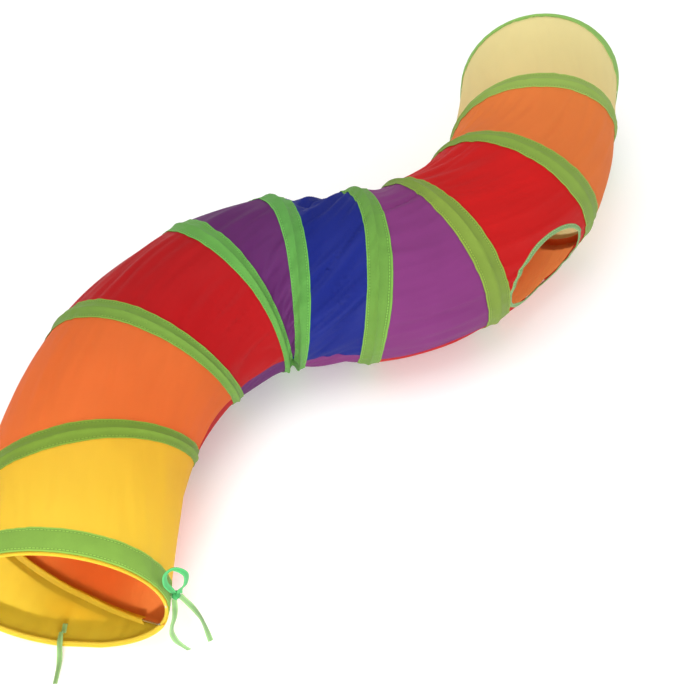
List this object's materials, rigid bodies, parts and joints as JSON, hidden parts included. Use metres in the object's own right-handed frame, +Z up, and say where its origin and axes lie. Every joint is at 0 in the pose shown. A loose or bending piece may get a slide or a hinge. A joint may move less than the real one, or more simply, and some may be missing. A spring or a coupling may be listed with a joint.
{
  "type": "collapsible pet play tunnel",
  "caption": "Pop-up fabric play tunnel on a spring-wire coil, curved in an S, with a side peephole and ribbon ties; each panel folds flat.",
  "frame": {"origin": "on the floor under the middle of the tunnel's box, ties left out", "axes": "+Z up, +Y from the near mouth towards the far mouth, +X to the right"},
  "size_m": [0.8516, 1.0054, 0.2469],
  "materials": {
    "yellow_cloth": "thin glossy nylon taffeta",
    "orange_cloth": "thin glossy nylon taffeta",
    "red_cloth": "thin glossy nylon taffeta",
    "purple_cloth": "thin glossy nylon taffeta",
    "blue_cloth": "thin glossy nylon taffeta",
    "cream_cloth": "thin glossy nylon taffeta",
    "green_tape": "woven binding tape with two rows of stitching",
    "sage_binding": "narrow woven binding",
    "tie_ribbon": "narrow ribbed ribbon",
    "spring_steel": "bright spring wire",
    "ferrule_steel": "crimped plated steel sleeve"
  },
  "bodies": {
    "near_mouth": {"near_mouth_wire_ring": "spring_steel", "near_ring_ferrule": "ferrule_steel", "near_mouth_binding": "green_tape", "tie_tab_side": "tie_ribbon", "tie_tab_floor": "tie_ribbon", "tie_knot": "tie_ribbon", "tie_bow_loop": "tie_ribbon", "tie_tail_front": "tie_ribbon", "tie_tail_side": "tie_ribbon", "tie_tail_floor": "tie_ribbon"},
    "coil_turn_1": {"coil_wire_turn_1": "spring_steel", "coil_tape_turn_1": "green_tape", "panel_1_yellow": "yellow_cloth"},
    "coil_turn_2": {"coil_wire_turn_2": "spring_steel", "coil_tape_turn_2": "green_tape", "panel_2_orange": "orange_cloth"},
    "coil_turn_3": {"coil_wire_turn_3": "spring_steel", "coil_tape_turn_3": "green_tape", "panel_3_red": "red_cloth"},
    "coil_turn_4": {"coil_wire_turn_4": "spring_steel", "coil_tape_turn_4": "green_tape", "panel_4_purple": "purple_cloth"},
    "coil_turn_5": {"coil_wire_turn_5": "spring_steel", "coil_tape_turn_5": "green_tape", "panel_5_blue": "blue_cloth"},
    "coil_turn_6": {"coil_wire_turn_6": "spring_steel", "coil_tape_turn_6": "green_tape", "panel_6_purple": "purple_cloth"},
    "coil_turn_7": {"coil_wire_turn_7": "spring_steel", "coil_tape_turn_7": "green_tape", "panel_7_red": "red_cloth", "peephole_binding": "sage_binding"},
    "coil_turn_8": {"coil_wire_turn_8": "spring_steel", "coil_tape_turn_8": "green_tape", "panel_8_orange": "orange_cloth"},
    "far_mouth": {"coil_wire_turn_9": "spring_steel", "coil_tape_turn_9": "green_tape", "panel_9_cream": "cream_cloth", "panel_9_cream_tail": "cream_cloth", "far_mouth_wire_ring": "spring_steel", "far_ring_ferrule": "ferrule_steel", "far_mouth_binding": "green_tape"}
  },
  "joints": [
    {"name": "panel_1_fold", "type": "slide", "parent": "near_mouth", "child": "coil_turn_1", "axis": [0, -1, 0], "range_m": [0, 0.142], "stiffness_N_per_m": 5, "deforming": ["coil_wire_turn_1", "coil_tape_turn_1", "panel_1_yellow"]},
    {"name": "panel_2_fold", "type": "hinge", "parent": "coil_turn_1", "child": "coil_turn_2", "pos_m": [0.11215, -0.31957, 0], "axis": [0, 0, 1], "range_deg": [0, 23.79], "stiffness_Nm_per_rad": 0.05, "deforming": ["coil_wire_turn_2", "coil_tape_turn_2", "panel_2_orange"]},
    {"name": "panel_3_fold", "type": "hinge", "parent": "coil_turn_2", "child": "coil_turn_3", "pos_m": [0.04877, -0.28865, 0], "axis": [0, 0, 1], "range_deg": [0, 24.33], "stiffness_Nm_per_rad": 0.05, "deforming": ["coil_wire_turn_3", "coil_tape_turn_3", "panel_3_red"]},
    {"name": "panel_4_fold", "type": "hinge", "parent": "coil_turn_3", "child": "coil_turn_4", "pos_m": [-0.03251, -0.1808, 0], "axis": [0, 0, 1], "range_deg": [0, 23.61], "stiffness_Nm_per_rad": 0.05, "deforming": ["coil_wire_turn_4", "coil_tape_turn_4", "panel_4_purple"]},
    {"name": "panel_5_fold", "type": "slide", "parent": "coil_turn_4", "child": "coil_turn_5", "axis": [-0.9877, -0.1564, 0], "range_m": [0, 0.095], "stiffness_N_per_m": 5, "deforming": ["coil_wire_turn_5", "coil_tape_turn_5", "panel_5_blue"]},
    {"name": "panel_6_fold", "type": "hinge", "parent": "coil_turn_5", "child": "coil_turn_6", "pos_m": [0.01207, 0.24732, 0], "axis": [0, 0, -1], "range_deg": [0, 21.57], "stiffness_Nm_per_rad": 0.05, "deforming": ["coil_wire_turn_6", "coil_tape_turn_6", "panel_6_purple"]},
    {"name": "panel_7_fold", "type": "hinge", "parent": "coil_turn_6", "child": "coil_turn_7", "pos_m": [-0.09487, 0.40005, 0], "axis": [0, 0, -1], "range_deg": [0, 20.67], "stiffness_Nm_per_rad": 0.05, "deforming": ["coil_wire_turn_7", "coil_tape_turn_7", "panel_7_red", "peephole_binding"]},
    {"name": "panel_8_fold", "type": "hinge", "parent": "coil_turn_7", "child": "coil_turn_8", "pos_m": [-0.03707, 0.36393, 0], "axis": [0, 0, -1], "range_deg": [0, 22.18], "stiffness_Nm_per_rad": 0.05, "deforming": ["coil_wire_turn_8", "coil_tape_turn_8", "panel_8_orange"]},
    {"name": "panel_9_fold", "type": "slide", "parent": "coil_turn_8", "child": "far_mouth", "axis": [-0.1219, -0.9925, 0], "range_m": [0, 0.138], "stiffness_N_per_m": 5, "deforming": ["coil_wire_turn_9", "coil_tape_turn_9", "panel_9_cream", "panel_9_cream_tail"]}
  ]
}
